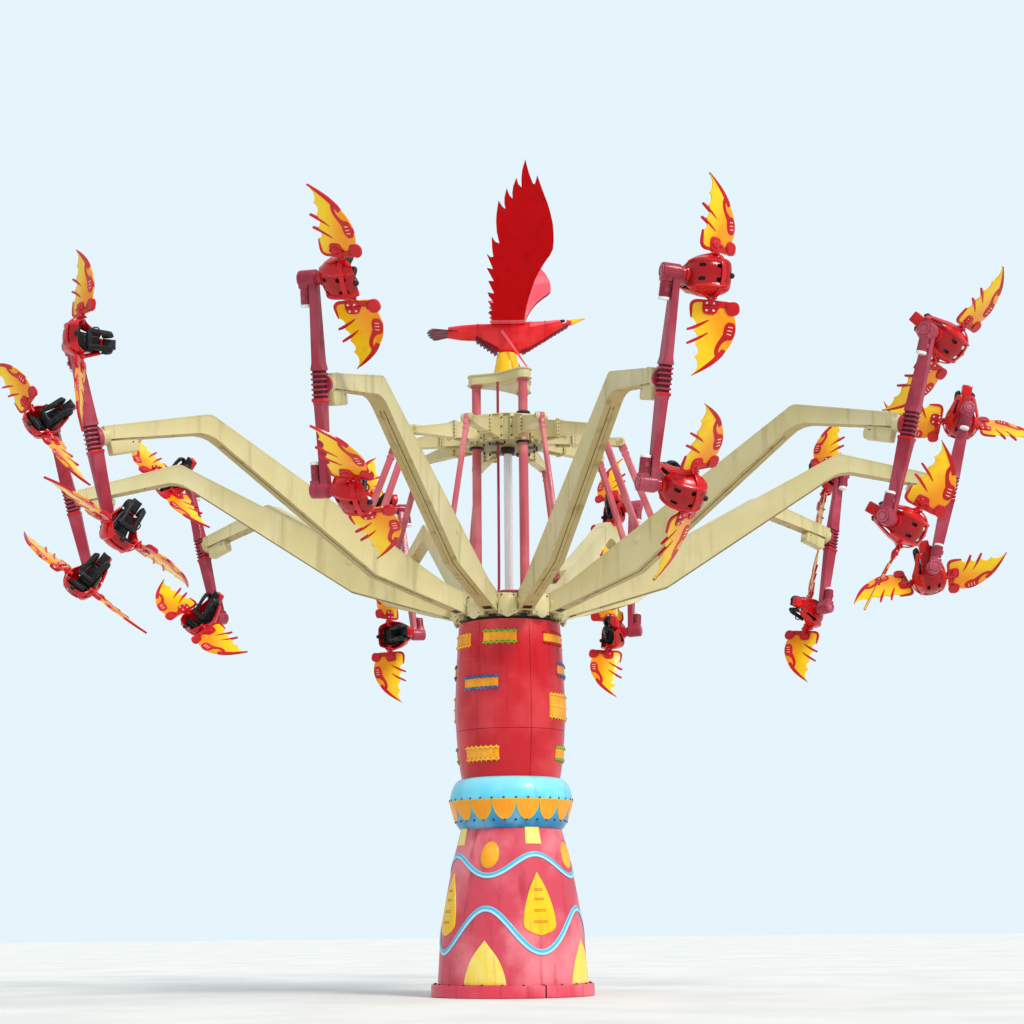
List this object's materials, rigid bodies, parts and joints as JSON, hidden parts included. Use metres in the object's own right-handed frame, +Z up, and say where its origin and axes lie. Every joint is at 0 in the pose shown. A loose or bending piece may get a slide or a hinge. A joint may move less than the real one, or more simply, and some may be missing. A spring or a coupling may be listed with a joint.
{
  "type": "tower flying ride with spinning booms and winged one-seat gondolas",
  "caption": "Fairground tower ride: arms lifted by a sliding star carry spinning booms with a winged, rolling one-seat gondola at each end, with a bird ornament on the mast",
  "frame": {"origin": "on the ground at the middle of the tower's foot flange", "axes": "+Z up, +X to the right and +Y away in the reference view"},
  "size_m": [22.0582, 20.4153, 16.3838],
  "materials": {
    "flange_paint": "gloss magenta red paint, scuffed at the edge",
    "cladding_paint": "gloss red paint with painted ornament and lamps",
    "belt_paint": "gloss cyan and orange scalloped paint",
    "cream_paint": "satin cream paint with grime at the joints",
    "maroon_paint": "satin maroon paint",
    "cone_paint": "gloss yellow paint",
    "feather_paint": "painted glass fibre",
    "ram_chrome": "hard chromed rod",
    "gondola_shell": "painted glass fibre, red shell with yellow to orange wings"
  },
  "bodies": {
    "base": {"foot_flange": "flange_paint", "pedestal_cladding": "cladding_paint", "belt_ring": "belt_paint", "drum_cladding": "cladding_paint"},
    "turntable": {"turntable": "cream_paint", "guide_mast": "maroon_paint", "eagle_stand": "cone_paint", "eagle_statue": "feather_paint"},
    "star": {"star_frame": "cream_paint", "ram_rod": "ram_chrome"},
    "arm_1": {"arm_1": "cream_paint"},
    "tie_rod_1": {"tie_rod_1": "maroon_paint"},
    "boom_1": {"boom_1": "maroon_paint"},
    "gondola_1_upper": {"gondola_1_upper": "gondola_shell"},
    "gondola_1_lower": {"gondola_1_lower": "gondola_shell"},
    "arm_2": {"arm_2": "cream_paint"},
    "tie_rod_2": {"tie_rod_2": "maroon_paint"},
    "boom_2": {"boom_2": "maroon_paint"},
    "gondola_2_upper": {"gondola_2_upper": "gondola_shell"},
    "gondola_2_lower": {"gondola_2_lower": "gondola_shell"},
    "arm_3": {"arm_3": "cream_paint"},
    "tie_rod_3": {"tie_rod_3": "maroon_paint"},
    "boom_3": {"boom_3": "maroon_paint"},
    "gondola_3_upper": {"gondola_3_upper": "gondola_shell"},
    "gondola_3_lower": {"gondola_3_lower": "gondola_shell"},
    "arm_4": {"arm_4": "cream_paint"},
    "tie_rod_4": {"tie_rod_4": "maroon_paint"},
    "boom_4": {"boom_4": "maroon_paint"},
    "gondola_4_upper": {"gondola_4_upper": "gondola_shell"},
    "gondola_4_lower": {"gondola_4_lower": "gondola_shell"},
    "arm_5": {"arm_5": "cream_paint"},
    "tie_rod_5": {"tie_rod_5": "maroon_paint"},
    "boom_5": {"boom_5": "maroon_paint"},
    "gondola_5_upper": {"gondola_5_upper": "gondola_shell"},
    "gondola_5_lower": {"gondola_5_lower": "gondola_shell"},
    "arm_6": {"arm_6": "cream_paint"},
    "tie_rod_6": {"tie_rod_6": "maroon_paint"},
    "boom_6": {"boom_6": "maroon_paint"},
    "gondola_6_upper": {"gondola_6_upper": "gondola_shell"},
    "gondola_6_lower": {"gondola_6_lower": "gondola_shell"},
    "arm_7": {"arm_7": "cream_paint"},
    "tie_rod_7": {"tie_rod_7": "maroon_paint"},
    "boom_7": {"boom_7": "maroon_paint"},
    "gondola_7_upper": {"gondola_7_upper": "gondola_shell"},
    "gondola_7_lower": {"gondola_7_lower": "gondola_shell"},
    "arm_8": {"arm_8": "cream_paint"},
    "tie_rod_8": {"tie_rod_8": "maroon_paint"},
    "boom_8": {"boom_8": "maroon_paint"},
    "gondola_8_upper": {"gondola_8_upper": "gondola_shell"},
    "gondola_8_lower": {"gondola_8_lower": "gondola_shell"},
    "arm_9": {"arm_9": "cream_paint"},
    "tie_rod_9": {"tie_rod_9": "maroon_paint"},
    "boom_9": {"boom_9": "maroon_paint"},
    "gondola_9_upper": {"gondola_9_upper": "gondola_shell"},
    "gondola_9_lower": {"gondola_9_lower": "gondola_shell"},
    "arm_10": {"arm_10": "cream_paint"},
    "tie_rod_10": {"tie_rod_10": "maroon_paint"},
    "boom_10": {"boom_10": "maroon_paint"},
    "gondola_10_upper": {"gondola_10_upper": "gondola_shell"},
    "gondola_10_lower": {"gondola_10_lower": "gondola_shell"}
  },
  "joints": [
    {"name": "turntable_spin", "type": "hinge", "parent": "base", "child": "turntable", "pos_m": [0, 0, 7.4], "axis": [0, 0, 1], "continuous": true},
    {"name": "star_lift", "type": "slide", "parent": "turntable", "child": "star", "axis": [0, 0, -1], "range_m": [-0.18, 2.2]},
    {"name": "arm_1_hinge", "type": "hinge", "parent": "turntable", "child": "arm_1", "pos_m": [-0.38747, -1.08276, 7.72], "axis": [0.9415, -0.3369, 0], "range_deg": [-4.3, 52]},
    {"name": "tie_rod_1_hinge", "type": "hinge", "parent": "star", "child": "tie_rod_1", "pos_m": [-0.79583, -2.22389, 11.213], "axis": [0.9415, -0.3369, 0], "range_deg": [-3.9, 0.4]},
    {"name": "boom_1_spin", "type": "hinge", "parent": "arm_1", "child": "boom_1", "pos_m": [-3.08276, -8.61454, 10.11611], "axis": [0.3249, 0.908, 0.2644], "continuous": true},
    {"name": "gondola_1_upper_roll", "type": "hinge", "parent": "boom_1", "child": "gondola_1_upper", "pos_m": [-3.1582, -9.07612, 11.79415], "axis": [-0.9447, 0.3245, 0.0468], "continuous": true},
    {"name": "gondola_1_lower_roll", "type": "hinge", "parent": "boom_1", "child": "gondola_1_lower", "pos_m": [-3.00732, -8.15297, 8.43807], "axis": [-0.9447, 0.3245, 0.0468], "continuous": true},
    {"name": "arm_2_hinge", "type": "hinge", "parent": "turntable", "child": "arm_2", "pos_m": [0.32296, -1.10372, 7.72], "axis": [0.9598, 0.2808, 0], "range_deg": [-4.3, 52]},
    {"name": "tie_rod_2_hinge", "type": "hinge", "parent": "star", "child": "tie_rod_2", "pos_m": [0.66333, -2.26694, 11.213], "axis": [0.9598, 0.2808, 0], "range_deg": [-3.9, 0.4]},
    {"name": "boom_2_spin", "type": "hinge", "parent": "arm_2", "child": "boom_2", "pos_m": [2.5695, -8.78131, 10.11611], "axis": [-0.2708, 0.9256, 0.2644], "continuous": true},
    {"name": "gondola_2_upper_roll", "type": "hinge", "parent": "boom_2", "child": "gondola_2_upper", "pos_m": [2.77977, -9.19908, 11.79415], "axis": [-0.955, -0.2928, 0.0468], "continuous": true},
    {"name": "gondola_2_lower_roll", "type": "hinge", "parent": "boom_2", "child": "gondola_2_lower", "pos_m": [2.35922, -8.36355, 8.43807], "axis": [-0.955, -0.2928, 0.0468], "continuous": true},
    {"name": "arm_3_hinge", "type": "hinge", "parent": "turntable", "child": "arm_3", "pos_m": [0.91003, -0.7031, 7.72], "axis": [0.6114, 0.7913, 0], "range_deg": [-4.3, 52]},
    {"name": "tie_rod_3_hinge", "type": "hinge", "parent": "star", "child": "tie_rod_3", "pos_m": [1.86912, -1.4441, 11.213], "axis": [0.6114, 0.7913, 0], "range_deg": [-3.9, 0.4]},
    {"name": "boom_3_spin", "type": "hinge", "parent": "arm_3", "child": "boom_3", "pos_m": [7.24029, -5.59392, 10.11611], "axis": [-0.7632, 0.5896, 0.2644], "continuous": true},
    {"name": "gondola_3_upper_roll", "type": "hinge", "parent": "boom_3", "child": "gondola_3_upper", "pos_m": [7.65596, -5.8083, 11.79415], "axis": [-0.6005, -0.7982, 0.0468], "continuous": true},
    {"name": "gondola_3_lower_roll", "type": "hinge", "parent": "boom_3", "child": "gondola_3_lower", "pos_m": [6.82462, -5.37953, 8.43807], "axis": [-0.6005, -0.7982, 0.0468], "continuous": true},
    {"name": "arm_4_hinge", "type": "hinge", "parent": "turntable", "child": "arm_4", "pos_m": [1.1495, -0.03392, 7.72], "axis": [0.0295, 0.9996, 0], "range_deg": [-4.3, 52]},
    {"name": "tie_rod_4_hinge", "type": "hinge", "parent": "star", "child": "tie_rod_4", "pos_m": [2.36097, -0.06966, 11.213], "axis": [0.0295, 0.9996, 0], "range_deg": [-3.9, 0.4]},
    {"name": "boom_4_spin", "type": "hinge", "parent": "arm_4", "child": "boom_4", "pos_m": [9.14554, -0.26984, 10.11611], "axis": [-0.964, 0.0284, 0.2644], "continuous": true},
    {"name": "gondola_4_upper_roll", "type": "hinge", "parent": "boom_4", "child": "gondola_4_upper", "pos_m": [9.60784, -0.19895, 11.79415], "axis": [-0.0166, -0.9988, 0.0468], "continuous": true},
    {"name": "gondola_4_lower_roll", "type": "hinge", "parent": "boom_4", "child": "gondola_4_lower", "pos_m": [8.68325, -0.34072, 8.43807], "axis": [-0.0166, -0.9988, 0.0468], "continuous": true},
    {"name": "arm_5_hinge", "type": "hinge", "parent": "turntable", "child": "arm_5", "pos_m": [0.9499, 0.64822, 7.72], "axis": [-0.5637, 0.826, 0], "range_deg": [-4.3, 52]},
    {"name": "tie_rod_5_hinge", "type": "hinge", "parent": "star", "child": "tie_rod_5", "pos_m": [1.95101, 1.33139, 11.213], "axis": [-0.5637, 0.826, 0], "range_deg": [-3.9, 0.4]},
    {"name": "boom_5_spin", "type": "hinge", "parent": "arm_5", "child": "boom_5", "pos_m": [7.5575, 5.15731, 10.11611], "axis": [-0.7966, -0.5436, 0.2644], "continuous": true},
    {"name": "gondola_5_upper_roll", "type": "hinge", "parent": "boom_5", "child": "gondola_5_upper", "pos_m": [7.88984, 5.48639, 11.79415], "axis": [0.5736, -0.8178, 0.0468], "continuous": true},
    {"name": "gondola_5_lower_roll", "type": "hinge", "parent": "boom_5", "child": "gondola_5_lower", "pos_m": [7.22516, 4.82823, 8.43807], "axis": [0.5736, -0.8178, 0.0468], "continuous": true},
    {"name": "arm_6_hinge", "type": "hinge", "parent": "turntable", "child": "arm_6", "pos_m": [0.38747, 1.08276, 7.72], "axis": [-0.9415, 0.3369, 0], "range_deg": [-4.3, 52]},
    {"name": "tie_rod_6_hinge", "type": "hinge", "parent": "star", "child": "tie_rod_6", "pos_m": [0.79583, 2.22389, 11.213], "axis": [-0.9415, 0.3369, 0], "range_deg": [-3.9, 0.4]},
    {"name": "boom_6_spin", "type": "hinge", "parent": "arm_6", "child": "boom_6", "pos_m": [3.08276, 8.61454, 10.11611], "axis": [-0.3249, -0.908, 0.2644], "continuous": true},
    {"name": "gondola_6_upper_roll", "type": "hinge", "parent": "boom_6", "child": "gondola_6_upper", "pos_m": [3.1582, 9.07612, 11.79415], "axis": [0.9447, -0.3245, 0.0468], "continuous": true},
    {"name": "gondola_6_lower_roll", "type": "hinge", "parent": "boom_6", "child": "gondola_6_lower", "pos_m": [3.00732, 8.15297, 8.43807], "axis": [0.9447, -0.3245, 0.0468], "continuous": true},
    {"name": "arm_7_hinge", "type": "hinge", "parent": "turntable", "child": "arm_7", "pos_m": [-0.32296, 1.10372, 7.72], "axis": [-0.9598, -0.2808, 0], "range_deg": [-4.3, 52]},
    {"name": "tie_rod_7_hinge", "type": "hinge", "parent": "star", "child": "tie_rod_7", "pos_m": [-0.66333, 2.26694, 11.213], "axis": [-0.9598, -0.2808, 0], "range_deg": [-3.9, 0.4]},
    {"name": "boom_7_spin", "type": "hinge", "parent": "arm_7", "child": "boom_7", "pos_m": [-2.5695, 8.78131, 10.11611], "axis": [0.2708, -0.9256, 0.2644], "continuous": true},
    {"name": "gondola_7_upper_roll", "type": "hinge", "parent": "boom_7", "child": "gondola_7_upper", "pos_m": [-2.77977, 9.19908, 11.79415], "axis": [0.955, 0.2928, 0.0468], "continuous": true},
    {"name": "gondola_7_lower_roll", "type": "hinge", "parent": "boom_7", "child": "gondola_7_lower", "pos_m": [-2.35922, 8.36355, 8.43807], "axis": [0.955, 0.2928, 0.0468], "continuous": true},
    {"name": "arm_8_hinge", "type": "hinge", "parent": "turntable", "child": "arm_8", "pos_m": [-0.91003, 0.7031, 7.72], "axis": [-0.6114, -0.7913, 0], "range_deg": [-4.3, 52]},
    {"name": "tie_rod_8_hinge", "type": "hinge", "parent": "star", "child": "tie_rod_8", "pos_m": [-1.86912, 1.4441, 11.213], "axis": [-0.6114, -0.7913, 0], "range_deg": [-3.9, 0.4]},
    {"name": "boom_8_spin", "type": "hinge", "parent": "arm_8", "child": "boom_8", "pos_m": [-7.24029, 5.59392, 10.11611], "axis": [0.7632, -0.5896, 0.2644], "continuous": true},
    {"name": "gondola_8_upper_roll", "type": "hinge", "parent": "boom_8", "child": "gondola_8_upper", "pos_m": [-7.65596, 5.8083, 11.79415], "axis": [0.6005, 0.7982, 0.0468], "continuous": true},
    {"name": "gondola_8_lower_roll", "type": "hinge", "parent": "boom_8", "child": "gondola_8_lower", "pos_m": [-6.82462, 5.37953, 8.43807], "axis": [0.6005, 0.7982, 0.0468], "continuous": true},
    {"name": "arm_9_hinge", "type": "hinge", "parent": "turntable", "child": "arm_9", "pos_m": [-1.1495, 0.03392, 7.72], "axis": [-0.0295, -0.9996, 0], "range_deg": [-4.3, 52]},
    {"name": "tie_rod_9_hinge", "type": "hinge", "parent": "star", "child": "tie_rod_9", "pos_m": [-2.36097, 0.06966, 11.213], "axis": [-0.0295, -0.9996, 0], "range_deg": [-3.9, 0.4]},
    {"name": "boom_9_spin", "type": "hinge", "parent": "arm_9", "child": "boom_9", "pos_m": [-9.14554, 0.26984, 10.11611], "axis": [0.964, -0.0284, 0.2644], "continuous": true},
    {"name": "gondola_9_upper_roll", "type": "hinge", "parent": "boom_9", "child": "gondola_9_upper", "pos_m": [-9.60784, 0.19895, 11.79415], "axis": [0.0166, 0.9988, 0.0468], "continuous": true},
    {"name": "gondola_9_lower_roll", "type": "hinge", "parent": "boom_9", "child": "gondola_9_lower", "pos_m": [-8.68325, 0.34072, 8.43807], "axis": [0.0166, 0.9988, 0.0468], "continuous": true},
    {"name": "arm_10_hinge", "type": "hinge", "parent": "turntable", "child": "arm_10", "pos_m": [-0.9499, -0.64822, 7.72], "axis": [0.5637, -0.826, 0], "range_deg": [-4.3, 52]},
    {"name": "tie_rod_10_hinge", "type": "hinge", "parent": "star", "child": "tie_rod_10", "pos_m": [-1.95101, -1.33139, 11.213], "axis": [0.5637, -0.826, 0], "range_deg": [-3.9, 0.4]},
    {"name": "boom_10_spin", "type": "hinge", "parent": "arm_10", "child": "boom_10", "pos_m": [-7.5575, -5.15731, 10.11611], "axis": [0.7966, 0.5436, 0.2644], "continuous": true},
    {"name": "gondola_10_upper_roll", "type": "hinge", "parent": "boom_10", "child": "gondola_10_upper", "pos_m": [-7.88984, -5.48639, 11.79415], "axis": [-0.5736, 0.8178, 0.0468], "continuous": true},
    {"name": "gondola_10_lower_roll", "type": "hinge", "parent": "boom_10", "child": "gondola_10_lower", "pos_m": [-7.22516, -4.82823, 8.43807], "axis": [-0.5736, 0.8178, 0.0468], "continuous": true}
  ],
  "couplings": [
    {"joint": "arm_1_hinge", "follows": "star_lift", "rad_per_m": 0.4116},
    {"joint": "tie_rod_1_hinge", "follows": "star_lift", "rad_per_m": -0.0302},
    {"joint": "arm_2_hinge", "follows": "star_lift", "rad_per_m": 0.4116},
    {"joint": "tie_rod_2_hinge", "follows": "star_lift", "rad_per_m": -0.0302},
    {"joint": "arm_3_hinge", "follows": "star_lift", "rad_per_m": 0.4116},
    {"joint": "tie_rod_3_hinge", "follows": "star_lift", "rad_per_m": -0.0302},
    {"joint": "arm_4_hinge", "follows": "star_lift", "rad_per_m": 0.4116},
    {"joint": "tie_rod_4_hinge", "follows": "star_lift", "rad_per_m": -0.0302},
    {"joint": "arm_5_hinge", "follows": "star_lift", "rad_per_m": 0.4116},
    {"joint": "tie_rod_5_hinge", "follows": "star_lift", "rad_per_m": -0.0302},
    {"joint": "arm_6_hinge", "follows": "star_lift", "rad_per_m": 0.4116},
    {"joint": "tie_rod_6_hinge", "follows": "star_lift", "rad_per_m": -0.0302},
    {"joint": "arm_7_hinge", "follows": "star_lift", "rad_per_m": 0.4116},
    {"joint": "tie_rod_7_hinge", "follows": "star_lift", "rad_per_m": -0.0302},
    {"joint": "arm_8_hinge", "follows": "star_lift", "rad_per_m": 0.4116},
    {"joint": "tie_rod_8_hinge", "follows": "star_lift", "rad_per_m": -0.0302},
    {"joint": "arm_9_hinge", "follows": "star_lift", "rad_per_m": 0.4116},
    {"joint": "tie_rod_9_hinge", "follows": "star_lift", "rad_per_m": -0.0302},
    {"joint": "arm_10_hinge", "follows": "star_lift", "rad_per_m": 0.4116},
    {"joint": "tie_rod_10_hinge", "follows": "star_lift", "rad_per_m": -0.0302}
  ]
}
